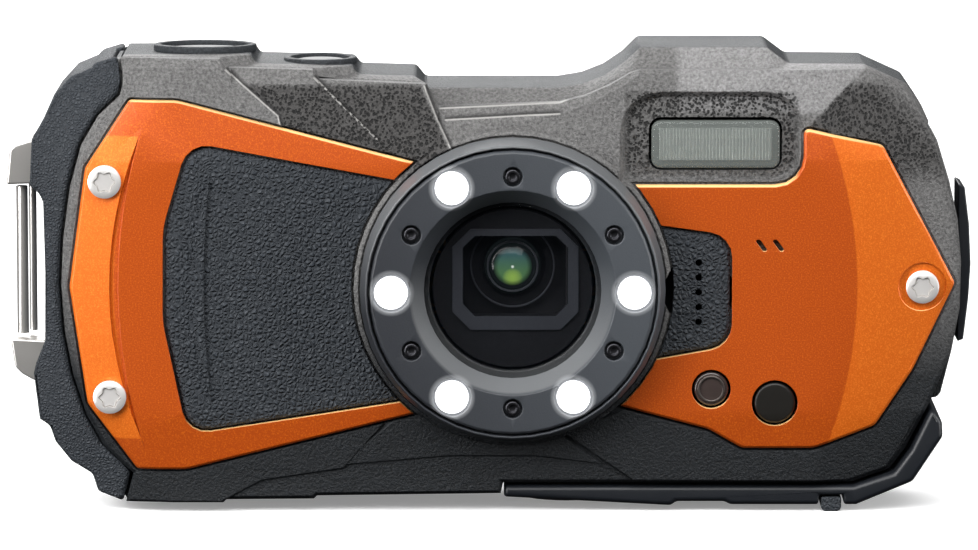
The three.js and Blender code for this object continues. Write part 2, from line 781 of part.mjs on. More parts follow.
function lightCover() {
  const ring = turned(LENS.x, LENS.z, [
    [COVER_OUTER, RING_FRONT + 0.3],
    [COVER_OUTER - 0.3, RING_FRONT],
    [COVER_INNER, RING_FRONT],
    [11.2, RING_FRONT + 2.6],
    [11.6, RING_FRONT + 2.75],
    [14.0, RING_FRONT + 1.95],
    [COVER_OUTER, RING_FRONT + 1.35],
  ], 48);
  return carve(
    ring,
    ...LEDS.map((at) => hole(at, LED_RADIUS + GAP, RING_FRONT - 1, RING_FRONT + 0.8)),
    ...RING_SCREWS.map((at) => hole(at, 1.25, RING_FRONT - 1, RING_FRONT + 0.95, 16)),
  );
}

const ledLens = ({ x, z }) =>
  turned(x, z, [
    [0, RING_FRONT - 0.0],
    [1.2, RING_FRONT + 0.05],
    [LED_RADIUS, RING_FRONT + 0.2],
    [LED_RADIUS, RING_FRONT + 0.5],
    [0, RING_FRONT + 0.5],
  ], 20);

function ringScrew({ x, z }) {
  const front = RING_FRONT + 0.12;
  return turned(x, z, [
    [0, front + 0.3],
    [0.45, front + 0.3],
    [0.5, front],
    [0.85, front],
    [0.95, front + 0.12],
    [0.95, front + 0.55],
    [0, front + 0.55],
  ], 16);
}

const lensWindow = () =>
  turned(LENS.x, LENS.z, [
    [0, RING_FRONT + 3.05],
    [WINDOW_RADIUS - 0.8, RING_FRONT + 3.05],
    [WINDOW_RADIUS, RING_FRONT + 3.4],
    [WINDOW_RADIUS, RING_FRONT + 3.9],
    [0, RING_FRONT + 3.9],
  ], 48);

// The light baffle behind the window: a disc with a rectangular tunnel, its corners cut.
function lensHood() {
  const tunnel = [
    [-2.5, 23.0], [9.3, 23.0], [11.4, 25.8], [11.4, 32.7],
    [9.2, 36.0], [-2.6, 36.0], [-4.7, 33.0], [-4.7, 25.2],
  ];
  const cut = 1.15;
  const opening = [
    [-3.3 + cut, 24.8], [9.8 - cut, 24.8], [9.8, 24.8 + cut], [9.8, 35.3 - cut],
    [9.8 - cut, 35.3], [-3.3 + cut, 35.3], [-3.3, 35.3 - cut], [-3.3, 24.8 + cut],
  ];
  const disc = turned(LENS.x, LENS.z, [[0, -10.2], [10.2, -10.2], [10.2, -9.4], [0, -9.4]], 40);
  return carve(join(disc, prism(tunnel, -9.6, -7.9)), prism(opening, -11, 0));
}

const frontElement = () =>
  turned(OPTIC.x, OPTIC.z, [
    [0, -8.75],
    [1.4, -8.6],
    [2.6, -8.25],
    [3.6, -7.6],
    [3.6, -6.6],
    [0, -6.6],
  ], 28);

// The folded optics: light turns down at the prism behind the front element.
function lensBlock() {
  const body = box([-5.4, 11.8], [-6.6, 3.8], [7.2, 38.4]);
  const tower = box([-1.9, 8.1], [-5.9, 2.6], [38.0, 41.6]);
  const well = hole(OPTIC, 4.0, -12, -6.2, 28);
  return carve(join(body, tower), well);
}

// ---------------------------------------------------------------- flash and small windows
function flashWindow() {
  const body = slab(FLASH_FRAME, [SHELL_FRONT + 0.3, 0.35], [SHELL_FRONT + 0.6, 0], [SHELL_FRONT + 1.6, 0]);
  return carve(body, prism(inset(FLASH_FRAME, 0.9), SHELL_FRONT + 0.9, 0));
}

function flashReflector() {
  const mouth = (by) => outline([
    [21.8 + by, 44.8 + by, 0.8],
    [35.7 - by, 44.8 + by, 0.8],
    [35.7 - by, 48.5 - by, 0.8],
    [21.8 + by, 48.5 - by, 0.8],
  ]);
  const back = (by) => outline([
    [23.2 + by, 45.9 + by, 0.3],
    [34.3 - by, 45.9 + by, 0.3],
    [34.3 - by, 47.4 - by, 0.3],
    [23.2 + by, 47.4 - by, 0.3],
  ]);
  const horn = loft([[SHELL_FRONT + 1.5, mouth(0)], [-5.6, back(-0.5)]]);
  const bowl = loft([[SHELL_FRONT + 1.2, mouth(0.45)], [-6.1, back(0)]]);
  return carve(horn, bowl);
}

const flashTube = () =>
  new THREE.CylinderGeometry(0.55, 0.55, 10.5, 14).rotateZ(Math.PI / 2).translate(28.75, -7.1, 46.65);

const porthole = ({ x, z, radius }, front, back) =>
  turned(x, z, [
    [0, front],
    [radius * 0.9, front],
    [radius, front + 0.2],
    [radius, back],
    [0, back],
  ], 28);

// ---------------------------------------------------------------- controls on top
const SHUTTER = { x: -36.4, y: 1.6, wide: 5.3, deep: 3.6 };
const POWER = { x: -21.6, y: 1.6, radius: 3.4 };

// An upright oval body between two heights: an oval outline in XY, turned up from XZ.
function upright(x, y, wide, deep, levels, count = 32) {
  const rings = levels.map(([z, by]) => [-z, circle(0, 0, wide - by, count, deep - by)]);
  return loft(rings.reverse()).rotateX(-Math.PI / 2).translate(x, y, 0);
}

const topHole = (x, y, wide, deep) => upright(x, y, wide, deep, [[50, 0], [62, 0]]);

function shutterButton() {
  const cap = upright(SHUTTER.x, SHUTTER.y, SHUTTER.wide, SHUTTER.deep, [[55.4, 0], [57.5, 0], [57.9, 0.45]]);
  const stem = box([SHUTTER.x - 1.2, SHUTTER.x + 1.2], [SHUTTER.y - 1.2, SHUTTER.y + 1.2], [53.6, 55.6]);
  return join(cap, stem);
}

function powerButton() {
  const cap = upright(POWER.x, POWER.y, POWER.radius, POWER.radius, [[54.0, 0], [56.1, 0], [56.4, 0.35]], 28);
  const stem = box([POWER.x - 1, POWER.x + 1], [POWER.y - 1, POWER.y + 1], [52.4, 54.2]);
  return join(cap, stem);
}

// ---------------------------------------------------------------- controls and display on the back
const BUTTON_FRONT = REAR_WALL - 1.2;
const BUTTON_BACK = SHELL_BACK + 0.7;
const OK_RADIUS = 3.1;
const REAR_BUTTONS = [
  { name: "play_button", x: -26.4, z: 40.6, radius: 2.6 },
  { name: "movie_button", x: -39.8, z: 40.6, radius: 2.6 },
  { name: "menu_button", x: -26.4, z: 13.4, radius: 2.6 },
  { name: "delete_button", x: -39.8, z: 13.4, radius: 2.6 },
];
const ZOOM = { x: -33.1, z: 49.0, wide: 15.0, high: 5.0 };
const zoomCorners = (grow) => [
  [ZOOM.x - ZOOM.wide / 2 - grow, ZOOM.z - ZOOM.high / 2 - grow, 2.2],
  [ZOOM.x + ZOOM.wide / 2 + grow, ZOOM.z - ZOOM.high / 2 - grow, 2.2],
  [ZOOM.x + ZOOM.wide / 2 + grow, ZOOM.z + ZOOM.high / 2 + grow, 2.2],
  [ZOOM.x - ZOOM.wide / 2 - grow, ZOOM.z + ZOOM.high / 2 + grow, 2.2],
];
const ZOOM_HOLE = zoomCorners(0.4);
const KEY_NAMES = ["key_right", "key_up", "key_left", "key_down"];
const DISPLAY = outline([
  [-17.0, 6.2, 2.5],
  [50.4, 6.2, 2.5],
  [50.4, 49.6, 2.5],
  [-17.0, 49.6, 2.5],
]);

// One arrow key of the four-way pad: a sector of a ring, the first one pointing along +X.
function arrowKey(index) {
  const inner = 4.1;
  const outer = 8.3;
  const half = THREE.MathUtils.degToRad(36);
  const middle = (index * Math.PI) / 2;
  const steps = 6;
  const arc = (radius, from, to) =>
    Array.from({ length: steps + 1 }, (_, i) => {
      const turn = middle + from + ((to - from) * i) / steps;
      return [PAD_CENTRE.x + radius * Math.cos(turn), PAD_CENTRE.z + radius * Math.sin(turn)];
    });
  return [...arc(outer, -half, half), ...arc(inner, half * 0.9, -half * 0.9)];
}

function rearButton(at, radius) {
  return turned(at.x, at.z, [
    [0, BUTTON_FRONT],
    [radius, BUTTON_FRONT],
    [radius, BUTTON_BACK - 0.25],
    [radius - 0.3, BUTTON_BACK],
    [0, BUTTON_BACK],
  ], 24);
}

// The zoom rocker tips about a vertical line through its middle.
function zoomRocker() {
  const body = slab(outline(zoomCorners(0), 4), [BUTTON_FRONT + 0.6, 0.3], [BUTTON_BACK - 0.3, 0], [BUTTON_BACK, 0.4]);
  const waist = prism(
    [[ZOOM.x - 1.4, 40], [ZOOM.x, 40], [ZOOM.x + 1.4, 40], [ZOOM.x + 1.4, 60], [ZOOM.x, 60], [ZOOM.x - 1.4, 60]],
    BUTTON_BACK - 0.3, 20,
  );
  return carve(body, waist);
}

const displayGlass = () => slab(DISPLAY, [SHELL_BACK - 0.7, 0], [SHELL_BACK - 0.1, 0], [SHELL_BACK + 0.1, 0.2]);

// ---------------------------------------------------------------- battery door
// Hinge knuckle at the bottom, then the side wall's own curve, 1.7 mm thick.
const DOOR = [
  ...Array.from({ length: 6 }, (_, i) => {
    const turn = Math.PI + (i * Math.PI) / 5.6;
    return [HINGE.x + 1.1 * Math.cos(turn), HINGE.z + 1.1 * Math.sin(turn)];
  }),
  [59.3, 19.5],
  [60.3, 25.0],
  [60.4, 31.0],
  [59.9, 36.5],
  [58.8, 41.4],
  [57.2, 46.6],
  [56.3, 48.3],
  [54.8, 47.5],
  [55.6, 45.9],
  [57.1, 41.0],
  [58.2, 36.3],
  [58.7, 31.0],
  [58.5, 25.2],
  [57.5, 19.9],
];
const LATCH_POCKET = 60.0;

function batteryDoor() {
  const skin = prism(DOOR, DOOR_FRONT, DOOR_BACK);
  return carve(skin, box([59.75, 63], [-3.4, 8.6], [19.9, 41.3]));
}

// The sliding latch on the door. It stands proud of the door and slides back to unlock.
function doorLatch() {
  const side = [
    [LATCH_POCKET + 0.1, 20.4],
    [60.9, 20.7],
    [61.5, 26.0],
    [61.75, 30.5],
    [61.5, 35.6],
    [60.9, 40.4],
    [LATCH_POCKET + 0.1, 40.8],
  ];
  const plate = prism(side, -3.0, 5.0);
  const grooves = [0, 1, 2, 3].map((n) => box([61.35, 63], [-1.9 + n * 1.7, -1.2 + n * 1.7], [26.5, 34.5]));
  return carve(plate, ...grooves);
}

function doorGasket() {
  const band = [
    [57.2, 20.0],
    [58.2, 25.3],
    [58.4, 31.0],
    [57.9, 36.2],
    [56.8, 40.9],
    [55.4, 45.6],
    [54.5, 45.3],
    [55.9, 40.6],
    [57.0, 36.0],
    [57.5, 31.0],
    [57.3, 25.5],
    [55.9, 19.0],
    [55.4, 17.2],
    [56.3, 16.9],
  ];
  return carve(prism(band, -3.3, 8.1), box([50, 62], [-2.3, 7.1], [18.2, 44.5]));
}

// ---------------------------------------------------------------- strap lug
const LUG_FRONT = -3.0;
const LUG_BACK = 5.0;
const UPPER_BRACKET = [[-61.75, 40.7], [-56.0, 40.9], [-56.0, 46.4], [-58.8, 46.4], [-60.6, 45.9], [-61.3, 45.2]];
const LOWER_BRACKET = [[-60.0, 16.2], [-58.4, 15.3], [-56.0, 15.3], [-56.0, 20.5], [-61.4, 20.8], [-60.9, 17.1]];

const strapBar = (x, y, radius) =>
  turnedUp(x, y, [[0, 21.2], [radius, 21.2], [radius, 40.3], [0, 40.3]], 16);

// ---------------------------------------------------------------- the assembly
const camera = new THREE.Group();
camera.position.z = FOOT_DROP;

function piece(name, geometry, look) {
  const mesh = new THREE.Mesh(geometry, look);
  mesh.name = name;
  camera.add(mesh);
}

piece("front_shell", frontShell(), plastic);
piece("rear_shell", rearShell(), plastic);
piece("base_cover", baseCover(), smoothPlastic);
piece("base_foot", baseFoot(), rubber);
piece("side_bumper", sideBumper(), rubber);
piece("faceplate_left", faceplateLeft(), paint);
piece("faceplate_right", faceplateRight(), paint);
piece("grip_pad", pad(GRIP_PAD, [], [PAD_RIDGE]), rubber);
piece("speaker_pad", pad(SPEAKER_PAD, SPEAKER_HOLES.map((at) => hole(at, 0.45, -20, 0, 10))), rubber);
FACE_SCREWS.forEach((at, i) => {
  const proud = i < 2 ? 0.9 : 0.4;
  piece(`face_screw_${i + 1}`, bowed(panScrew(at, PLATE_FRONT - proud)), steel);
});

piece("lens_ring", lensRing(), satinBlack);
piece("light_cover", lightCover(), satinBlack);
LEDS.forEach((at, i) => piece(`ring_led_${i + 1}`, ledLens(at), lamp));
RING_SCREWS.forEach((at, i) => piece(`ring_screw_${i + 1}`, ringScrew(at), darkSteel));
piece("lens_window", lensWindow(), glass);
piece("lens_hood", lensHood(), satinBlack);
piece("front_element", frontElement(), glass);
piece("lens_block", lensBlock(), satinBlack);

piece("flash_window", flashWindow(), clear);
piece("flash_reflector", flashReflector(), chrome);
piece("flash_tube", flashTube(), clear);
piece("timer_lamp", bowed(porthole(TIMER, PLATE_FRONT + 0.25, PARTING - 1.0)), glass);
piece("remote_window", bowed(porthole(REMOTE, PLATE_FRONT + 0.25, PARTING - 1.0)), glass);

piece("shutter_button", shutterButton(), smoothPlastic);
piece("power_button", powerButton(), smoothPlastic);
piece("zoom_rocker", zoomRocker(), smoothPlastic);
REAR_BUTTONS.forEach((b) => piece(b.name, rearButton(b, b.radius), smoothPlastic));
KEY_NAMES.forEach((name, i) =>
  piece(name, slab(arrowKey(i), [BUTTON_FRONT, 0], [BUTTON_BACK - 0.3, 0], [BUTTON_BACK, 0.3]), smoothPlastic),
);
piece("ok_button", rearButton(PAD_CENTRE, OK_RADIUS), smoothPlastic);
piece("display_glass", displayGlass(), glass);
piece("display_panel", box([-14, 48], [8.6, 10.5], [9, 46.6]), satinBlack);

piece("battery_door", batteryDoor(), plastic);
piece("door_latch", doorLatch(), smoothPlastic);
piece("door_gasket", doorGasket(), rubber);
piece("battery", box([16, 53.8], [-3.0, 4.0], [18.6, 44.2]), satinBlack);
piece("memory_card", box([21.8, 53.8], [5.2, 7.3], [19.6, 43.6]), smoothPlastic);
piece("main_board", box([-44, 14], [4.4, 5.6], [9, 49]), boardGreen);

piece("strap_bracket_upper", prism(UPPER_BRACKET, LUG_FRONT, LUG_BACK), chrome);
piece("strap_bracket_lower", prism(LOWER_BRACKET, LUG_FRONT, LUG_BACK), chrome);
piece("strap_bar_front", strapBar(-59.95, -0.6, 0.75), chrome);
piece("strap_bar_rear", strapBar(-58.75, 1.7, 0.5), chrome);
piece(
  "tripod_socket",
  turnedUp(TRIPOD.x, TRIPOD.y, [[TRIPOD.thread, 0.2], [TRIPOD.outer, 0.2], [TRIPOD.outer, 6.6], [TRIPOD.thread, 6.6]], 24),
  brass,
);

export default camera;
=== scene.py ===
# %% [markdown]
# # A rugged waterproof compact camera
#
# The designer's solids come in as a fixed frame: every piece is already at its real size and place.
# Here each one gets the looks of the real thing: rounded moulded edges, leather-grained pads, pearl
# paint, black glass, lit lamps and turned screws. Lengths below are millimetres, turned into metres
# by MM, and X, Y and Z run as in the frame: X along the camera, Y from lens to display, Z up.

import json
import math

import bpy
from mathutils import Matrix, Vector


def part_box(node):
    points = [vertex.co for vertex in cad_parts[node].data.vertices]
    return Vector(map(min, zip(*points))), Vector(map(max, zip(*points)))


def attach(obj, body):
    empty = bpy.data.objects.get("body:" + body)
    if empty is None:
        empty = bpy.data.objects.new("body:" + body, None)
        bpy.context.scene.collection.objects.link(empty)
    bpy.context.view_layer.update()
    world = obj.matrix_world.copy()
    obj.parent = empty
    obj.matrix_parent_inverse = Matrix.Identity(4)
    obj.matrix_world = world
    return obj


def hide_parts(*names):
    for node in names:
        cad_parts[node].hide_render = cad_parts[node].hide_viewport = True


MM = 0.001
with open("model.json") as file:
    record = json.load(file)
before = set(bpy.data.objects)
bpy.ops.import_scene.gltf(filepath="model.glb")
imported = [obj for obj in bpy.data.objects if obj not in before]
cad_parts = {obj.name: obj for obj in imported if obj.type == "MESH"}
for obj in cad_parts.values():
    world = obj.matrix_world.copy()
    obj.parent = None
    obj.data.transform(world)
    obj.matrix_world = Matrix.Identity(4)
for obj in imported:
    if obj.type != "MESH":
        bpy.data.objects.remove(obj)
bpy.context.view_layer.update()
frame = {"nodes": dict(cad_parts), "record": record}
nodes = frame["nodes"]
record = frame["record"]
rides_on = {node: body for body, group in record["behaviour"]["bodies"].items() for node in group}

# %% [markdown]
# ## The camera that looks
#
# A long lens far away keeps the outline almost flat, as in a catalogue picture. It looks down by
# eight degrees, so a strip of the top shows.

# %% Viewpoint
VIEW_DISTANCE = 0.8
VIEW_TILT = math.radians(8)
VIEW_WIDTH = 124.2 * MM
aim = Vector((0, -10.6 * MM, 30.9 * MM))

bpy.ops.object.camera_add(
    location=aim + VIEW_DISTANCE * Vector((0, -math.cos(VIEW_TILT), math.sin(VIEW_TILT))),
    rotation=(math.radians(90) - VIEW_TILT, 0, 0),
)
viewpoint = bpy.context.object
viewpoint.data.sensor_width = 36
viewpoint.data.lens = 36 * VIEW_DISTANCE / VIEW_WIDTH
viewpoint.data.clip_start = 0.05
bpy.context.scene.camera = viewpoint
bpy.context.scene.view_settings.view_transform = "Standard"
print("lens", round(viewpoint.data.lens), "mm at", VIEW_DISTANCE, "m")

# %% [markdown]
# ## The light
#
# The light is a white room with a big soft lamp above, which leaves faces that lean up pale and faces
# that lean down dark. Two upright soft lamps at the sides draw the bright lines along the rounded
# edges, and one behind lights the display side.


# %% Light and floor
def soft_lamp(name, place, size, power):
    """A rectangular lamp, size (width, height) in metres, aimed at the camera's middle."""
    bpy.ops.object.light_add(type="AREA", location=place)
    lamp = bpy.context.object
    lamp.name = name
    lamp.data.shape = "RECTANGLE"
    lamp.data.size, lamp.data.size_y = size
    lamp.data.energy = power
    lamp.rotation_euler = (aim - Vector(place)).to_track_quat("-Z", "Y").to_euler()
    return lamp


soft_lamp("lamp_above", (-0.1, -0.4, 0.46), (0.9, 0.5), 6.2)
soft_lamp("lamp_left", (-0.4, -0.26, 0.1), (0.2, 0.4), 2.6)
soft_lamp("lamp_right", (0.55, -0.14, 0.1), (0.2, 0.4), 2.4)
soft_lamp("lamp_behind", (-0.25, 0.75, 0.5), (0.9, 0.5), 9.0)

bpy.ops.mesh.primitive_plane_add(size=6, location=(0, 0, 0))
floor = bpy.context.object
floor.name = "floor"
floor_paper = bpy.data.materials.new("floor_paper")
floor_paper.use_nodes = True
paper = floor_paper.node_tree.nodes["Principled BSDF"].inputs
paper["Base Color"].default_value = (0.95, 0.95, 0.95, 1)
paper["Roughness"].default_value = 1.0
paper["Specular IOR Level"].default_value = 0.0
paper["Emission Color"].default_value = (1, 1, 1, 1)
paper["Emission Strength"].default_value = 0.25
floor.data.materials.append(floor_paper)

# The floor is kept out of the object's own light, as a black card under it would do.
floor.visible_diffuse = False
floor.visible_glossy = False

# The room looks white behind the object, but lights it little: more from above than from below.
room = bpy.data.worlds.new("white_room")
room.use_nodes = True
sky = room.node_tree.nodes["Background"]
sky.inputs["Color"].default_value = (1, 1, 1, 1)


def room_node(kind, **values):
    node = room.node_tree.nodes.new("ShaderNode" + kind)
    for key, value in values.items():
        entry = node.inputs[key.replace("_", " ")]
        if hasattr(value, "is_output"):
            room.node_tree.links.new(value, entry)
        else:
            entry.default_value = value
    return node


direction = room_node("SeparateXYZ", Vector=room_node("TexCoord").outputs["Generated"]).outputs["Z"]
glow = room_node("MapRange", Value=direction, From_Min=-0.1, From_Max=0.9, To_Min=0.02, To_Max=0.3)
seen = room_node("LightPath").outputs["Is Camera Ray"]
level = room_node("MapRange", Value=seen, To_Min=glow.outputs["Result"], To_Max=1.0)
room.node_tree.links.new(level.outputs["Result"], sky.inputs["Strength"])
bpy.context.scene.world = room

# %% [markdown]
# ## Writing materials as sums
#
# A material's pattern is a calculation on places: how far along, how noisy, how steep. Written as
# nodes it takes many lines, so a small class wraps one output of a node and lets it be added,
# multiplied and compared like a number. Each finish then reads as a formula.


# %% A wire that can be used in arithmetic
class Wire:
    """One output of a shader node."""

    def __init__(self, socket):
        self.socket = socket

    def math(self, operation, *others):
        node = self.socket.id_data.nodes.new("ShaderNodeMath")
        node.operation = operation
        for entry, value in zip(node.inputs, others):
            connect(entry, value)
        return Wire(node.outputs[0])

    def __add__(self, other):
        return self.math("ADD", self, other)

    def __radd__(self, other):
        return self.math("ADD", other, self)

    def __sub__(self, other):
        return self.math("SUBTRACT", self, other)

    def __rsub__(self, other):
        return self.math("SUBTRACT", other, self)

    def __mul__(self, other):
        return self.math("MULTIPLY", self, other)

    def __rmul__(self, other):
        return self.math("MULTIPLY", other, self)

    def __truediv__(self, other):
        return self.math("DIVIDE", self, other)

    def below(self, edge, blur):
        """1 where this is under the edge, 0 over it, with a soft step of that width."""
        return ((self - edge) / -blur + 0.5).clamped()

    def above(self, edge, blur):
        return ((self - edge) / blur + 0.5).clamped()

    def clamped(self):
        node = self.socket.id_data.nodes.new("ShaderNodeClamp")
        connect(node.inputs["Value"], self)
        return Wire(node.outputs[0])


def connect(entry, value):
    """Links a wire to a node's input, or sets the input's own value."""
    if isinstance(value, Wire):
        entry.id_data.links.new(value.socket, entry)
    else:
        entry.default_value = value


# %% [markdown]
# A finish is one material. It holds the place on the surface, makes the nodes that a pattern needs,
# and hands the results to the shader's own inputs.


# %% A finish: one material and what its surface does
class Finish:
    def __init__(self, name, **values):
        self.material = bpy.data.materials.new(name)
        self.material.use_nodes = True
        self.tree = self.material.node_tree
        self.shader = self.tree.nodes["Principled BSDF"]
        self.place = self.node("TexCoord", {}, "Object")
        self.give(**values)

    def node(self, kind, settings, output=0, **entries):
        """Adds a node of any kind, with its settings and then its inputs, and gives one output."""
        node = self.tree.nodes.new("ShaderNode" + kind)
        for key, value in settings.items():
            setattr(node, key, value)
        for key, value in entries.items():
            connect(node.inputs[key.replace("_", " ")], value)
        return Wire(node.outputs[output])

    def give(self, **values):
        """Sets or links the shader's own inputs, such as Base_Color or Roughness."""
        for key, value in values.items():
            connect(self.shader.inputs[key.replace("_", " ")], value)

    def noise(self, size, detail=2.0, roughness=0.5, where=None):
        """Cloudy noise about 0.5, whose blobs are about that many millimetres across."""
        return self.node(
            "TexNoise", {}, "Fac", Vector=where or self.place, Scale=1 / (size * MM), Detail=detail,
            Roughness=roughness,
        )

    def cells(self, size, feature="F1", where=None):
        """Distance in a pattern of cells about that many millimetres across."""
        return self.node(
            "TexVoronoi", {"feature": feature}, "Distance", Vector=where or self.place, Scale=1 / (size * MM)
        )

    def axis(self, letter):
        """The place along X, Y or Z, in millimetres."""
        return self.node("SeparateXYZ", {}, letter, Vector=self.place) / MM

    def blend(self, first, second, share):
        """Mixes two colours, the second one's share from 0 to 1."""
        return self.node("Mix", {"data_type": "RGBA"}, 2, Factor=share, **{"A": first, "B": second})

    def relief(self, height, depth):
        """Turns a height from 0 to 1 into bumps that many millimetres deep."""
        self.give(Normal=self.node("Bump", {}, 0, Height=height, Distance=depth * MM, Strength=1.0))


def rgb(red, green, blue):
    """A colour from the 0 to 255 of a paint chart, as the linear value that the shader wants."""
    linear = [((c / 255 + 0.055) / 1.055) ** 2.4 if c > 10 else c / 255 / 12.92 for c in (red, green, blue)]
    return (*linear, 1.0)


# %% [markdown]
# ## Moulded plastics and rubber
#
# The body is moulded in a grey-black plastic whose tool was etched, so its skin is a fine sand. The
# steps at the upper left, the flash surround and the upper right corner were etched coarser and show
# black pits. The base cover is the same plastic with a smooth satin skin. The grip end and the pads
# are rubber: the pads carry a leather grain, which is a pattern of small swollen cells.

# %% Sandy body plastic
sandy = Finish("sandy_plastic", Specular_IOR_Level=0.32)
grains = sandy.noise(0.36, detail=3, roughness=0.7)
share = (grains * 2.2 - 0.6).clamped()
along, deep, up = sandy.axis("X"), sandy.axis("Y"), sandy.axis("Z")

# Where the tool was etched coarse: the second and third steps, the flash surround, the far corner.
# The steps' edges lean left as they rise, and the first one leans more above its bend.
BEND_HEIGHT = 51.2
FIRST_STEP_X, FIRST_STEP_Z, FIRST_LEAN, BEND_LEAN = -25.6, 47.8, 0.235, 0.92
THIRD_STEP_X, THIRD_STEP_Z, THIRD_LEAN = -4.1, 44.5, 0.45
CORNER_DIAGONAL = -9.1  # X minus Z along the crease between the shoulder and the far corner
over_bend = (up - BEND_HEIGHT).math("MAXIMUM", up - BEND_HEIGHT, 0)
first_edge = FIRST_STEP_X - (up - FIRST_STEP_Z) * FIRST_LEAN - over_bend * BEND_LEAN
third_edge = THIRD_STEP_X - (up - THIRD_STEP_Z) * THIRD_LEAN
step_pits = along.above(first_edge, 0.3) * along.below(third_edge, 0.3) * up.below(54.9, 0.6)
frame_pits = along.above(17.5, 0.8) * along.below(39, 1) * up.below(54, 0.5)
corner_edge = (along - up).above(CORNER_DIAGONAL, 0.6)
corner_pits = along.above(41.0, 0.6) * corner_edge * up.below(55, 1.0)
pitted = (up.above(43.5, 4) * deep.below(-7, 1) * (step_pits + frame_pits + corner_pits)).clamped()
hollow = (sandy.cells(0.42).below(0.38, 0.12) + sandy.cells(0.7).below(0.3, 0.1)).clamped() * pitted

# Grey in front; a painted highlight on the shoulder above the flash, painted blue-black shade on top and
# behind, and painted shade low down.
TOP_BEGINS, LOW_MIDDLE, LOW_BLUR = -3.5, 24, 14
face_shade = sandy.blend(rgb(62, 61, 61), rgb(124, 123, 122), share)
painted_shoulder_highlight = sandy.blend(rgb(98, 97, 97), rgb(160, 159, 159), share)
painted_top_shade = sandy.blend(rgb(24, 26, 29), rgb(54, 58, 62), share)
painted_low_shade = sandy.blend(rgb(8, 9, 11), rgb(32, 36, 40), share)
shoulder = along.above(24, 1) * up.above(51.4, 0.6) * (1 - corner_edge)
high_shade = sandy.blend(face_shade, painted_shoulder_highlight, shoulder * 0.8)
high_shade = sandy.blend(high_shade, painted_top_shade, deep.above(TOP_BEGINS, 0.4))
colour = sandy.blend(painted_low_shade, high_shade, up.above(LOW_MIDDLE, LOW_BLUR))
colour = sandy.blend(colour, rgb(44, 42, 41), pitted * (0.75 - frame_pits * 0.45))


def beside(start, end):
    """How far to the right of a line through two (x, z) places, and where that line is being passed."""
    run, rise = end[0] - start[0], end[1] - start[1]
    length = math.hypot(run, rise)
    right = (along - start[0]) * (rise / length) - (up - start[1]) * (run / length)
    ahead = (along - start[0]) * (run / length) + (up - start[1]) * (rise / length)
    return right, ahead.above(0, 0.2) * ahead.below(length, 0.2)


# The steps' edges get a painted highlight, and the corner beside each one gets painted shade.
STEP_EDGES = [
    ((-25.9, 47.8), (-26.7, 51.2)), ((-26.7, 51.2), (-33.4, 57.0)), ((-14.0, 48.1), (-22.2, 56.0)),
    ((-3.6, 44.5), (-6.4, 50.4)), ((-6.4, 50.4), (-8.2, 54.9)), ((9.0, 52.7), (-6.3, 52.0)),
    ((15.0, 55.3), (9.0, 52.7)), ((9.0, 51.4), (-5.6, 50.6)),
]
painted_edge_highlight, painted_corner_shade = 0.0, 0.0
for start, end in STEP_EDGES:
    right, there = beside(start, end)
    there = there * deep.below(-7, 1)
    painted_edge_highlight = right.above(-0.16, 0.1) * right.below(0.04, 0.1) * there + painted_edge_highlight
    painted_corner_shade = right.above(0.04, 0.1) * right.below(0.4, 0.4) * there + painted_corner_shade
colour = sandy.blend(colour, rgb(168, 166, 163), (painted_edge_highlight * 0.8).clamped())
colour = sandy.blend(colour, rgb(30, 29, 29), (painted_corner_shade * 0.8).clamped())
sandy.give(
    Base_Color=sandy.blend(colour, rgb(7, 7, 7), hollow * 0.9),
    Roughness=0.5 + sandy.noise(9, detail=2) * 0.12,
)
sandy.relief(grains - hollow * 0.8, 0.26)

# %% [markdown]
# The base cover, the buttons and the door latch have a smooth satin skin, which wears unevenly.

# %% Smooth plastic of the base cover, the buttons and the door latch
satin = Finish("satin_plastic", Base_Color=rgb(23, 26, 31), Specular_IOR_Level=0.5)
satin.give(Roughness=0.36 + satin.noise(2.5, detail=4) * 0.14)
satin.relief(satin.noise(0.15, detail=2), 0.008)

# %% [markdown]
# Rubber has swollen cells, pulled out of shape by a slow swirl so that no two are alike.


# %% Rubber, in two grains
def leather_grain(name, base, cell, depth):
    """Rubber with swollen cells of that size, the cells painted lighter and the creases between them in
    painted shade.
    """
    finish = Finish(name, Specular_IOR_Level=0.4)
    bend = finish.node("TexNoise", {}, "Color", Vector=finish.place, Scale=1 / (cell * 1.7 * MM), Detail=1.0)
    swirl = finish.node("VectorMath", {"operation": "MULTIPLY_ADD"}, 0)
    adder = swirl.socket.node
    connect(adder.inputs[0], bend)
    adder.inputs[1].default_value = (cell * 0.9 * MM,) * 3
    connect(adder.inputs[2], finish.place)
    creases = finish.cells(cell, "DISTANCE_TO_EDGE", swirl).below(0.2, 0.3)
    swelling = (1 - creases) * (0.75 + 0.5 * finish.noise(cell * 0.8))
    painted_cell_light = tuple(min(1, c * 1.55) for c in base[:3]) + (1.0,)
    finish.give(
        Base_Color=finish.blend(painted_cell_light, base, creases),
        Roughness=0.52 + creases * 0.2,
    )
    finish.relief(swelling, depth)
    return finish


pad_rubber = leather_grain("pad_rubber", rgb(40, 44, 49), 0.62, 0.3)
bumper_rubber = leather_grain("bumper_rubber", rgb(40, 44, 49), 0.42, 0.12)

# %% [markdown]
# ## Paint, lens trim and metal
#
# The two face plates wear a pearl orange: fine flakes in the paint catch the light one by one, under
# a clear coat. The lens ring is satin black, brushed round its axis by the lathe. The screws and the
# strap lug are bright metal.

# %% Pearl orange paint
pearl = Finish(
    "pearl_orange", Metallic=0.3, Coat_Weight=0.2, Coat_Roughness=0.15, Specular_IOR_Level=0.35
)
flakes = pearl.noise(0.2, detail=2, roughness=0.7)
sparkle = (flakes * 3.2 - 1.5).clamped()
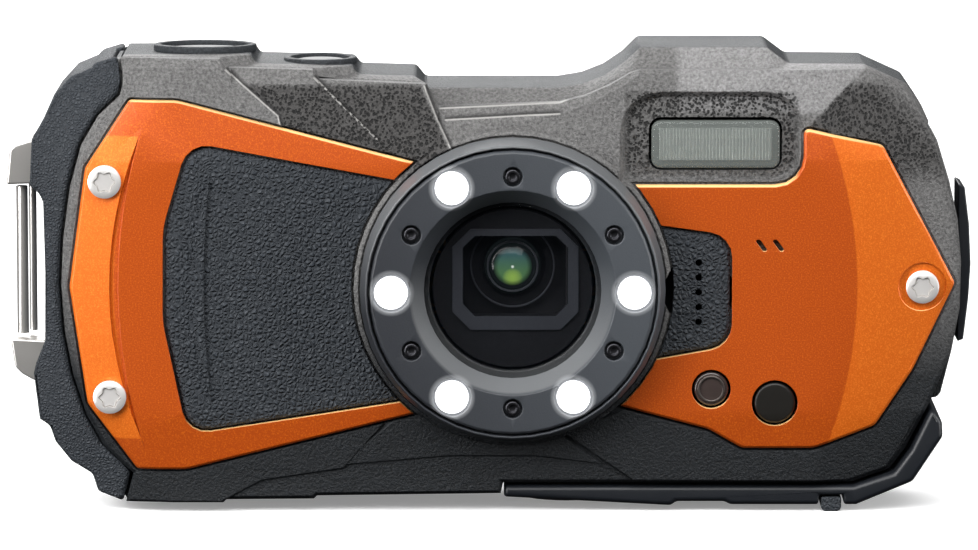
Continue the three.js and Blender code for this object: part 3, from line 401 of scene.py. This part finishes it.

# Past the two bent creases the plates turn away, and there the pearl gets a painted highlight, lighter and
# yellower.
LENS_HEIGHT = (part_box("lens_ring")[0][2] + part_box("lens_ring")[1][2]) / 2 / MM
GROOVE_AT, GROOVE_BEND, GROOVE_REACH = -47.7, 3.3, 19.4
CREASE_BEND, RIGHT_CREASE = 0.009, 46.8
along, rise = pearl.axis("X"), pearl.axis("Z") - LENS_HEIGHT
groove = rise * rise * (GROOVE_BEND / GROOVE_REACH ** 2) + GROOVE_AT
left_strip = along.below(groove, 0.2) * rise.below(GROOVE_REACH, 0.2) * rise.above(-GROOVE_REACH, 0.2)
right_facet = (along + rise * rise * CREASE_BEND).above(RIGHT_CREASE, 0.2)
pearl_base = pearl.blend(rgb(180, 72, 10), rgb(218, 108, 24), sparkle)
painted_facet_highlight = pearl.blend(rgb(218, 102, 18), rgb(246, 138, 48), sparkle)
pearl_colour = pearl.blend(pearl_base, painted_facet_highlight, (left_strip + right_facet * 0.85).clamped())

# Faces that look up, such as the plates' upper edges, get a painted pale highlight, as the light from above
# would draw.
facing_up = pearl.node("SeparateXYZ", {}, "Z", Vector=pearl.node("NewGeometry", {}, "Normal"))
pearl.give(
    Base_Color=pearl.blend(pearl_colour, rgb(255, 206, 138), facing_up.above(0.55, 0.3)),
    Roughness=0.46 - sparkle * 0.12,
)
pearl.relief(flakes, 0.03)

# %% [markdown]
# The lens ring is satin black, with painted highlights on its bevels and a painted paler side towards the
# light. Each lit lamp gets a painted soft halo on the plastic round it.

# %% Satin black of the ring, and the darker black inside the lens
ring_satin = Finish("ring_satin", Specular_IOR_Level=0.5)
ring_low, ring_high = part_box("light_cover")
ring_x = ring_satin.axis("X") - (ring_low[0] + ring_high[0]) / 2 / MM
ring_z = ring_satin.axis("Z") - (ring_low[2] + ring_high[2]) / 2 / MM
from_axis = (ring_x * ring_x + ring_z * ring_z).math("SQRT", ring_x * ring_x + ring_z * ring_z)
fine = ring_satin.noise(0.22, detail=3)
lit_side = (0.5 + ring_x / 34 + ring_z / 120).clamped()


def from_lamp(finish, x, z):
    """Distance to the nearest of the six lamps, by folding the ring into one sixth of a turn."""
    sixth = math.pi / 3
    turn = z.math("ARCTAN2", z, x) / sixth
    folded = (turn - turn.math("ROUND", turn)) * sixth
    radius = (x * x + z * z).math("SQRT", x * x + z * z)
    out = radius * folded.math("COSINE", folded) - LAMP_CIRCLE
    side = radius * folded.math("SINE", folded)
    return (out * out + side * side).math("SQRT", out * out + side * side)


LAMP_CIRCLE = 15.4
# Painted light: a soft halo round each lamp on the ring's plastic.
halo = from_lamp(ring_satin, ring_x, ring_z).below(2.55, 0.9)
# Painted light and shade: paler towards the right and top, and a painted highlight on the bevels.
face = ring_satin.blend(rgb(36, 38, 43), rgb(68, 72, 77), (lit_side * 0.8 + fine * 0.25).clamped())
inner_bevel = from_axis.below(12.9, 0.3) * ring_z.below(-2, 12)
outer_bevel = from_axis.above(18.3, 0.3) * ring_z.above(4, 14)
painted_bevel_highlight = (inner_bevel + outer_bevel).clamped()
ring_satin.give(
    Base_Color=ring_satin.blend(
        ring_satin.blend(face, rgb(98, 100, 102), painted_bevel_highlight), rgb(176, 178, 181), halo * 0.75
    ),
    Roughness=0.38 + fine * 0.16,
)
ring_satin.relief(fine, 0.018)
baffle_black = Finish("baffle_black", Roughness=0.5, Specular_IOR_Level=0.35)
baffle_black.give(Base_Color=baffle_black.blend(rgb(30, 31, 35), rgb(40, 41, 46), baffle_black.noise(0.4)))

# %% [markdown]
# The screws and the strap lug are bright, the small ring screws are blackened, and the tripod socket
# is brass. The grain of each is a faint wear in its roughness.


# %% Metals
def metal(name, colour, roughness, grain=0.3, depth=0.004):
    finish = Finish(name, Metallic=1.0, Base_Color=colour)
    wear = finish.noise(grain, detail=4)
    finish.give(Roughness=roughness + wear * 0.12)
    finish.relief(wear, depth)
    return finish


bright_steel = metal("bright_steel", rgb(236, 233, 230), 0.3)
bright_steel.give(Metallic=0.55)
chrome = metal("polished_chrome", rgb(206, 203, 199), 0.26, 2.0, 0.001)
chrome.give(Metallic=0.75)
black_screw = metal("black_screw", rgb(70, 70, 74), 0.3)
brass = metal("turned_brass", rgb(196, 160, 92), 0.25)

# %% [markdown]
# The window before the lens is nearly clear, the display is dark with a paler picture area, and the front
# element's coating is painted on as a glowing reflection. The lamps glow, with a softer edge.

# %% Glass, lamps and the board
lens_glass = Finish(
    "window_glass", Base_Color=rgb(6, 8, 11), Roughness=0.03, IOR=1.2, Transmission_Weight=0.0, Alpha=0.25
)
screen_glass = Finish("screen_glass", Roughness=0.07, IOR=1.45)
low, high = (Vector(corner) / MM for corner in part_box("display_glass"))
BORDER = 3.2
picture = screen_glass.axis("X").above(low.x + BORDER, 0.1)
picture = picture * screen_glass.axis("X").below(high.x - BORDER, 0.1)
picture = picture * screen_glass.axis("Z").above(low.z + BORDER, 0.1)
picture = picture * screen_glass.axis("Z").below(high.z - BORDER, 0.1)
screen_glass.give(Base_Color=screen_glass.blend(rgb(9, 10, 12), rgb(40, 43, 48), picture))
clear_plastic = Finish("clear_plastic", Base_Color=rgb(150, 156, 152), Roughness=0.08, IOR=1.45, Alpha=0.25)

# The front element's coating is painted as its green reflection and made to glow: green in the middle,
# yellow-green low down and blue-green above, dark past its edge, with a painted white glint at the centre.
coated = Finish("green_lens_painted_glow", Roughness=0.08, IOR=1.5, Emission_Strength=0.75)
LENS_LOW, LENS_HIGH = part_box("front_element")
across = coated.axis("X") - (LENS_LOW[0] + LENS_HIGH[0]) / 2 / MM
over = coated.axis("Z") - (LENS_LOW[2] + LENS_HIGH[2]) / 2 / MM
radius = (across * across + over * over).math("SQRT", across * across + over * over)
painted_low_sheen = (across * across + (over + 1.5) * (over + 1.5)).below(0.9, 1.8)
painted_coating_glow = coated.blend(rgb(62, 96, 98), rgb(84, 122, 84), over.below(0.4, 2.2))
painted_coating_glow = coated.blend(painted_coating_glow, rgb(150, 186, 88), painted_low_sheen)
painted_coating_glow = coated.blend(rgb(22, 27, 28), painted_coating_glow, radius.below(2.15, 0.7))
painted_coating_glow = coated.blend(painted_coating_glow, rgb(236, 244, 236), radius.below(0.16, 0.14))
coated.give(Base_Color=painted_coating_glow, Emission_Color=painted_coating_glow)

lit_lamp = Finish("lit_lamp", Base_Color=rgb(255, 255, 255), Roughness=0.3, Emission_Strength=2.2)
lamp_x = lit_lamp.axis("X") - (ring_low[0] + ring_high[0]) / 2 / MM
lamp_z = lit_lamp.axis("Z") - (ring_low[2] + ring_high[2]) / 2 / MM
lamp_edge = from_lamp(lit_lamp, lamp_x, lamp_z).above(2.0, 0.5)
lit_lamp.give(Emission_Color=lit_lamp.blend(rgb(255, 255, 255), rgb(120, 124, 130), lamp_edge))

timer_glass = Finish("timer_glass", Roughness=0.12, Coat_Weight=0.6)
timer_glass.give(Base_Color=timer_glass.blend(rgb(52, 44, 42), rgb(70, 60, 57), timer_glass.noise(1.2)))
infrared_window = Finish("infrared_window", Roughness=0.4)
infrared_window.give(
    Base_Color=infrared_window.blend(rgb(20, 18, 15), rgb(25, 23, 20), infrared_window.noise(0.6))
)

board_green = Finish("board_green", Roughness=0.45)
tracks = board_green.cells(2.4, "DISTANCE_TO_EDGE").below(0.06, 0.04)
board_green.give(Base_Color=board_green.blend(rgb(20, 74, 44), rgb(176, 140, 70), tracks))

# %% [markdown]
# ## Dressing the frame's pieces
#
# A moulded or machined edge is never sharp: it has a radius of a few tenths of a millimetre, and that
# radius is what draws the bright outline on a real product. Each of the designer's solids is copied,
# its loose triangles are merged into flat faces, and a Bevel modifier rounds the edges. The copy
# stands for the designer's solid and rides on the same body.


# %% A copy of a designer's solid with rounded edges
def only(piece):
    """Selects one object and nothing else."""
    bpy.ops.object.select_all(action="DESELECT")
    piece.select_set(True)
    bpy.context.view_layer.objects.active = piece


def take(node, name=None):
    """Copies a node's mesh into a new object, merged into flat faces."""
    piece = bpy.data.objects.new(name or node + "_skin", nodes[node].data.copy())
    bpy.context.scene.collection.objects.link(piece)
    piece.data.materials.clear()
    only(piece)
    bpy.ops.object.mode_set(mode="EDIT")
    bpy.ops.mesh.select_all(action="SELECT")
    bpy.ops.mesh.remove_doubles(threshold=0.02 * MM)
    bpy.ops.mesh.dissolve_limited(angle_limit=math.radians(1.0))
    bpy.ops.mesh.quads_convert_to_tris(ngon_method="BEAUTY")
    bpy.ops.object.mode_set(mode="OBJECT")
    return piece


def round_edges(piece, radius, segments=2, sharper_than=28):
    only(piece)
    bpy.ops.object.modifier_add(type="BEVEL")
    bevel = piece.modifiers[-1]
    bevel.width = radius * MM
    bevel.segments = segments
    bevel.limit_method = "ANGLE"
    bevel.angle_limit = math.radians(sharper_than)
    bevel.use_clamp_overlap = False
    bevel.loop_slide = False
    bpy.ops.object.modifier_apply(modifier=bevel.name)


def wear(piece, node, finish, smooth=35):
    """Gives a finished piece its material and its place in the frame, in a node's stead."""
    only(piece)
    bpy.ops.object.shade_smooth_by_angle(angle=math.radians(smooth))
    bpy.ops.object.modifier_add(type="WEIGHTED_NORMAL")
    piece.modifiers[-1].keep_sharp = True
    bpy.ops.object.modifier_apply(modifier=piece.modifiers[-1].name)
    piece.data.materials.append(finish.material)
    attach(piece, rides_on[node])
    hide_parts(node)


def dress(node, finish, radius=0.15, segments=2, smooth=35, sharper_than=28):
    piece = take(node)
    round_edges(piece, radius, segments, sharper_than)
    wear(piece, node, finish, smooth)
    return piece


# %% [markdown]
# The shells, the covers and the rubber come first. The thin plates and pads get small radii, because a
# wide one would eat their creases.

# %% Casing and rubber
dress("front_shell", sandy, 0.07)
dress("rear_shell", sandy, 0.35, 3)
dress("battery_door", sandy, 0.25)
dress("base_cover", satin, 0.35, 3)
dress("base_foot", bumper_rubber, 0.2)
dress("side_bumper", bumper_rubber, 0.4, 3)
dress("grip_pad", pad_rubber, 0.12, sharper_than=40)
dress("speaker_pad", pad_rubber, 0.12, sharper_than=40)
dress("door_gasket", bumper_rubber, 0.25)
for plate in ("faceplate_left", "faceplate_right"):
    dress(plate, pearl, 0.07)

# %% [markdown]
# Then the lens, the lamps, the keys and what lies inside, each with the radius its size allows.

# %% Lens, lamps and trim
dress("lens_ring", ring_satin, 0.2, 3)
dress("light_cover", ring_satin, 0.12, 2)
dress("lens_window", lens_glass, 0.1)
dress("lens_hood", baffle_black, 0.12)
dress("front_element", coated, 0.05)
dress("lens_block", baffle_black, 0.3)
for node in nodes:
    if node.startswith("ring_led"):
        dress(node, lit_lamp, 0.08)
    elif node.startswith("ring_screw"):
        dress(node, black_screw, 0.06)
    elif node.startswith("strap_"):
        dress(node, chrome, 0.3 if "bracket" in node else 0.1, 3)
    elif node.startswith("key_") or node.endswith("_button") or node in ("zoom_rocker", "door_latch"):
        dress(node, satin, 0.2, 3)
dress("timer_lamp", timer_glass, 0.1)
dress("remote_window", infrared_window, 0.1)
dress("flash_window", clear_plastic, 0.15)
dress("flash_reflector", chrome, 0.05)
dress("flash_tube", clear_plastic, 0.05)
dress("display_glass", screen_glass, 0.15)
dress("display_panel", baffle_black, 0.15)
dress("battery", baffle_black, 0.6, 3)
dress("memory_card", satin, 0.3)
dress("main_board", board_green, 0.1)
dress("tripod_socket", brass, 0.15)
print("dressed", len(nodes), "pieces")

# %% [markdown]
# ## Small pieces made by hand
#
# The designer's solids are plain where a piece is small. These are modelled as one would by hand: a
# primitive goes in at its place, is inset, extruded and bevelled in edit mode, and then its place is
# put into its mesh, so that it rides with the frame.


# %% Helpers for new pieces
def middle(node):
    """The middle of a node's box."""
    low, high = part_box(node)
    return (Vector(low) + Vector(high)) / 2


def edit(piece, mode="FACE"):
    """Opens a piece in edit mode with nothing selected."""
    only(piece)
    bpy.ops.object.mode_set(mode="EDIT")
    bpy.ops.mesh.select_mode(type=mode)
    bpy.ops.mesh.select_all(action="DESELECT")


def choose(piece, test):
    """Selects the faces that pass a test, in edit mode."""
    bpy.ops.object.mode_set(mode="OBJECT")
    for face in piece.data.polygons:
        face.select = test(face)
    bpy.ops.object.mode_set(mode="EDIT")


def fit(piece, name, node, finish, stands_for=()):
    """Puts a new piece's place into its mesh, and lets it ride with a node of the frame."""
    only(piece)
    piece.name = name
    bpy.ops.object.transform_apply(location=True, rotation=True, scale=True)
    bpy.ops.object.shade_smooth_by_angle(angle=math.radians(35))
    piece.data.materials.append(finish.material)
    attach(piece, rides_on[node])
    if stands_for:
        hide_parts(*stands_for)


FACING = {"front": (math.radians(90), 0, 0), "back": (math.radians(-90), 0, 0), "top": (0, 0, 0)}


def disc(place, radius, height, facing="front", corners=48):
    """A short cylinder whose outer face looks to the front, the back or the top."""
    bpy.ops.object.select_all(action="DESELECT")
    bpy.ops.mesh.primitive_cylinder_add(
        vertices=corners, radius=radius * MM, depth=height * MM, location=place, rotation=FACING[facing]
    )
    return bpy.context.object


def pierce(piece, rim, rise=0.0):
    """Leaves a rim of that width round a plate's two flat faces, and opens the rest, that much higher."""
    edit(piece)
    choose(piece, lambda face: len(face.vertices) > 4)
    bpy.ops.mesh.inset(thickness=rim * MM, use_individual=True)
    bpy.ops.transform.translate(value=(0, 0, rise * MM))
    bpy.ops.mesh.delete(type="FACE")
    bpy.ops.mesh.select_mode(type="EDGE")
    bpy.ops.mesh.select_non_manifold()
    bpy.ops.mesh.bridge_edge_loops()
    bpy.ops.mesh.select_all(action="SELECT")
    bpy.ops.mesh.normals_make_consistent(inside=False)
    bpy.ops.object.mode_set(mode="OBJECT")


# %% [markdown]
# ## Face screws
#
# The three screws that hold the face plates are stainless pan heads with a six-lobed socket. One is
# modelled: a disc, its front edge rolled over, and a ring of points pushed in and out into six lobes
# before the socket is sunk. Then it is copied to the three places.

# %% One six-lobed pan head
HEAD_RADIUS = 2.1
HEAD_HEIGHT = 0.8
HEAD_STANDS = 0.22  # how far the head stands back from the front of the solid it replaces
ROLL = ((0.3, 0.16), (0.25, 0.06))  # inset and rise of each step of the rolled front edge
SOCKET_SIZE, LOBE_SIZE = 0.86, 0.11  # of the ring of points left by the roll
SOCKET_DEPTH = 0.4
first_screw = disc(middle("face_screw_1"), HEAD_RADIUS, HEAD_HEIGHT, corners=48)
first_screw.location.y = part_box("face_screw_1")[0][1] + HEAD_HEIGHT / 2 * MM
edit(first_screw)
choose(first_screw, lambda face: len(face.vertices) > 4 and face.normal.z > 0.5)
for rim, rise in ROLL:
    bpy.ops.mesh.inset(thickness=rim * MM)
    bpy.ops.transform.translate(value=(0, -rise * MM, 0))
bpy.ops.object.mode_set(mode="OBJECT")
socket = [face for face in first_screw.data.polygons if face.select][0]
ring = [first_screw.data.vertices[i] for i in socket.vertices]
for point in ring:
    lobe = math.cos(6 * math.atan2(point.co.y, point.co.x))
    point.co.x *= SOCKET_SIZE + LOBE_SIZE * lobe
    point.co.y *= SOCKET_SIZE + LOBE_SIZE * lobe
bpy.ops.object.mode_set(mode="EDIT")
bpy.ops.mesh.inset(thickness=0.07 * MM)
bpy.ops.mesh.extrude_region_move(TRANSFORM_OT_translate={"value": (0, SOCKET_DEPTH * MM, 0)})
bpy.ops.mesh.inset(thickness=0.12 * MM)
bpy.ops.transform.translate(value=(0, -0.2 * MM, 0))
bpy.ops.object.mode_set(mode="OBJECT")
for number in (1, 2, 3):
    screw = first_screw.copy()
    screw.data = first_screw.data.copy()
    bpy.context.scene.collection.objects.link(screw)
    node = f"face_screw_{number}"
    place = middle(node)
    screw.location = (place.x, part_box(node)[0][1] + (HEAD_HEIGHT / 2 + HEAD_STANDS) * MM, place.z)
    fit(screw, f"pan_head_{number}", node, bright_steel, (node,))
bpy.data.objects.remove(first_screw)

# %% [markdown]
# ## Inside the lens
#
# Behind the window a grey frame with cut corners surrounds the tunnel. Deep inside sits the front element in
# its barrel, its coating's green shine painted on and made to glow.

# %% Tunnel frame and barrel rings
low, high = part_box("lens_hood")
frame_grey = Finish("frame_grey", Roughness=0.5)
frame_grey.give(Base_Color=frame_grey.blend(rgb(66, 69, 77), rgb(74, 77, 85), frame_grey.noise(0.5)))
FRAME_X, FRAME_Z, FRAME_WIDE, FRAME_HIGH, FRAME_DEEP = 3.35, 30.3, 16.0, 12.9, 0.3
CUT_CORNER, FRAME_RIM, OPENING_RISE = 2.3, 1.3, 0.45
bpy.ops.object.select_all(action="DESELECT")
bpy.ops.mesh.primitive_cube_add(size=1, location=(FRAME_X * MM, low[1] - 0.16 * MM, FRAME_Z * MM))
tunnel_frame = bpy.context.object
tunnel_frame.dimensions = (FRAME_WIDE * MM, FRAME_DEEP * MM, FRAME_HIGH * MM)
bpy.ops.object.transform_apply(location=False, rotation=False, scale=True)
edit(tunnel_frame, "EDGE")
bpy.ops.object.mode_set(mode="OBJECT")
points = tunnel_frame.data.vertices
for edge in tunnel_frame.data.edges:
    one, two = (points[i].co for i in edge.vertices)
    edge.select = abs(one.y - two.y) > 0.1 * MM
bpy.ops.object.mode_set(mode="EDIT")
bpy.ops.mesh.bevel(offset=CUT_CORNER * MM, segments=1)
bpy.ops.object.mode_set(mode="OBJECT")
pierce(tunnel_frame, FRAME_RIM, OPENING_RISE)
fit(tunnel_frame, "tunnel_frame", "lens_hood", frame_grey)

optic = middle("front_element")
for number, (radius, rim, depth) in enumerate(((3.3, 0.25, -8.3), (5.4, 0.2, -7.4)), 1):
    barrel = disc((optic.x, depth * MM, optic.z), radius, 0.5, corners=64)
    pierce(barrel, rim)
    round_edges(barrel, 0.08)
    fit(barrel, f"barrel_ring_{number}", "lens_block", frame_grey)

# %% [markdown]
# ## Flash
#
# The flash window is a clear plate whose back is moulded into fine upright ribs, which spread the
# light. One rib is a flattened cylinder, and an Array modifier repeats it across the window.

# %% Flash ribs
low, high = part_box("flash_window")
RIB_STEP = 0.42
ribs_wide = (high[0] - low[0]) / MM - 2.4
rib = disc((low[0] + 1.2 * MM, low[1] + 1.0 * MM, (low[2] + high[2]) / 2), 0.2, 4.1, "top", 10)
rib.scale = (1, 0.8, 1)
bpy.ops.object.transform_apply(location=False, rotation=False, scale=True)
bpy.ops.object.modifier_add(type="ARRAY")
rib.modifiers[-1].count = int(ribs_wide / RIB_STEP) + 1
rib.modifiers[-1].use_relative_offset = False
rib.modifiers[-1].use_constant_offset = True
rib.modifiers[-1].constant_offset_displace = (RIB_STEP * MM, 0, 0)
bpy.ops.object.modifier_apply(modifier=rib.modifiers[-1].name)
ribbed = Finish(
    "ribbed_plastic", Base_Color=rgb(118, 123, 118), Roughness=0.25, Metallic=0.4, Coat_Weight=0.3
)
fit(rib, "flash_ribs", "flash_window", ribbed)

# %% [markdown]
# ## Rims round the buttons and lamps
#
# The shutter and power buttons sit in low oval rims that keep them from being pressed in a pocket, and
# the self-timer lamp has a bright ring round its lens.

# %% Rims
for node, rim_height, top in (("shutter_button", 1.0, 57.9), ("power_button", 0.9, 56.3)):
    place = middle(node)
    button_low, button_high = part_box(node)
    wide = (button_high[0] - button_low[0]) / 2 / MM
    deep = (button_high[1] - button_low[1]) / 2 / MM
    rim = disc((place.x, place.y, (top + 0.8) * MM), wide + 1.3, rim_height, "top", 64)
    rim.scale = (1, (deep + 1.3) / (wide + 1.3), 1)
    bpy.ops.object.transform_apply(location=False, rotation=False, scale=True)
    pierce(rim, 0.95)
    round_edges(rim, 0.22, 3)
    fit(rim, node + "_rim", "rear_shell", sandy)

timer = middle("timer_lamp")
timer_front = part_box("timer_lamp")[0][1]
steel_grey = metal("steel_grey", rgb(120, 112, 108), 0.35)
timer_ring = disc((timer.x, timer_front - 0.05 * MM, timer.z), 1.75, 0.3)
pierce(timer_ring, 0.32)
round_edges(timer_ring, 0.08)
fit(timer_ring, "timer_ring", "timer_lamp", steel_grey)

# %% [markdown]
# ## Marks on the keys
#
# The keys at the back carry plain printed signs: arrows, a triangle for playing back, a red dot for
# film, bars for the menu and a cross for deleting. The arrows and the triangle are flat discs with
# three corners, the bars are flattened cubes, and all are printed a hair proud of their keys.

# %% Printed signs
printed_white = Finish("printed_white", Roughness=0.55)
printed_white.give(
    Base_Color=printed_white.blend(rgb(196, 199, 203), rgb(216, 219, 222), printed_white.noise(0.4))
)
printed_red = Finish("printed_red", Roughness=0.5)
printed_red.give(
    Base_Color=printed_red.blend(rgb(176, 30, 24), rgb(200, 44, 34), printed_red.noise(0.4))
)
QUARTER = math.pi / 2


def on_key(node, rise=0.0):
    """The middle of a key's back, and that many millimetres higher."""
    place = middle(node)
    return Vector((place.x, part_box(node)[1][1], place.z + rise * MM))


def sign(node, name, corners, size, turn=0.0, finish=printed_white):
    """A printed triangle or dot on the back of a key, turned about Y."""
    piece = disc(on_key(node), size, 0.1, "back", corners)
    piece.rotation_euler[1] = turn
    round_edges(piece, 0.02, 1)
    fit(piece, name, node, finish)


def bar(node, name, turn=0.0, rise=0.0):
    """A printed bar on the back of a key."""
    bpy.ops.object.select_all(action="DESELECT")
    bpy.ops.mesh.primitive_cube_add(size=MM, location=on_key(node, rise), scale=(2.2, 0.1, 0.36))
    piece = bpy.context.object
    bpy.ops.object.transform_apply(location=False, rotation=False, scale=True)
    piece.rotation_euler[1] = turn
    round_edges(piece, 0.02, 1)
    fit(piece, name, node, printed_white)


for direction, turn in (("right", -QUARTER), ("up", 2 * QUARTER), ("left", QUARTER), ("down", 0)):
    sign(f"key_{direction}", f"arrow_{direction}", 3, 0.8, turn)
sign("play_button", "play_triangle", 3, 1.1, QUARTER)
sign("movie_button", "film_dot", 28, 0.85, finish=printed_red)
for row in (1, 2, 3):
    bar("menu_button", f"menu_bar_{row}", rise=(2 - row) * 0.75)
for side in (1, 2):
    bar("delete_button", f"cross_bar_{side}", turn=(side - 1.5) * QUARTER)
print("printed the signs on the keys")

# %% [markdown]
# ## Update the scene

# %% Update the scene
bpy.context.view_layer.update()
